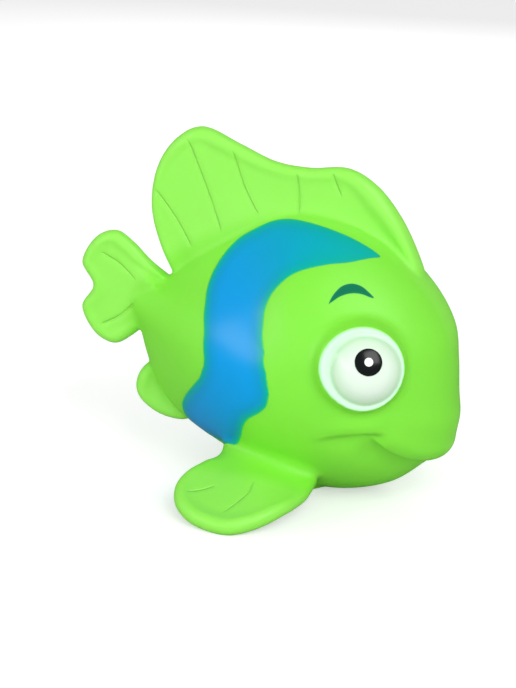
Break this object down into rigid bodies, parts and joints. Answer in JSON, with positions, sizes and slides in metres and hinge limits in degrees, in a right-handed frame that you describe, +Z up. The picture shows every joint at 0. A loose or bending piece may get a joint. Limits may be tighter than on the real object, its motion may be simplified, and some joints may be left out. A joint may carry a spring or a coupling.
{
  "type": "squeaky bath toy",
  "caption": "Soft vinyl fish bath toy with tall dorsal fin, bulging painted eyes, a blue flank band and a reed squeaker pressed into its belly.",
  "frame": {"origin": "middle of the object's box, on the surface that the fish rests on", "axes": "+X towards the nose, +Z up through the dorsal fin, +Y to the fish's left"},
  "size_m": [0.102, 0.0862, 0.0913],
  "materials": {
    "vinyl_green": "satin soft vinyl",
    "squeaker_plastic": "plain moulded",
    "reed_film": "smooth film",
    "paint_blue": "sprayed satin paint",
    "paint_teal": "sprayed satin paint",
    "paint_white": "sprayed satin paint",
    "paint_black": "gloss paint"
  },
  "bodies": {
    "toy": {"body_shell": "vinyl_green", "squeaker_cup": "squeaker_plastic", "reed_seat": "squeaker_plastic", "reed_wedge": "squeaker_plastic", "stripe_right": "paint_blue", "stripe_left": "paint_blue", "eye_white_right": "paint_white", "eye_white_left": "paint_white", "pupil_right": "paint_black", "pupil_left": "paint_black", "glint_right": "paint_white", "glint_left": "paint_white", "brow_right": "paint_teal", "brow_left": "paint_teal"},
    "reed": {"reed": "reed_film"}
  },
  "joints": [
    {"name": "reed_flex", "type": "hinge", "parent": "toy", "child": "reed", "pos_m": [0.00961, 0, 0.0048], "axis": [0, 1, 0], "range_deg": [-2.5, 3], "stiffness_Nm_per_rad": 0.003}
  ]
}
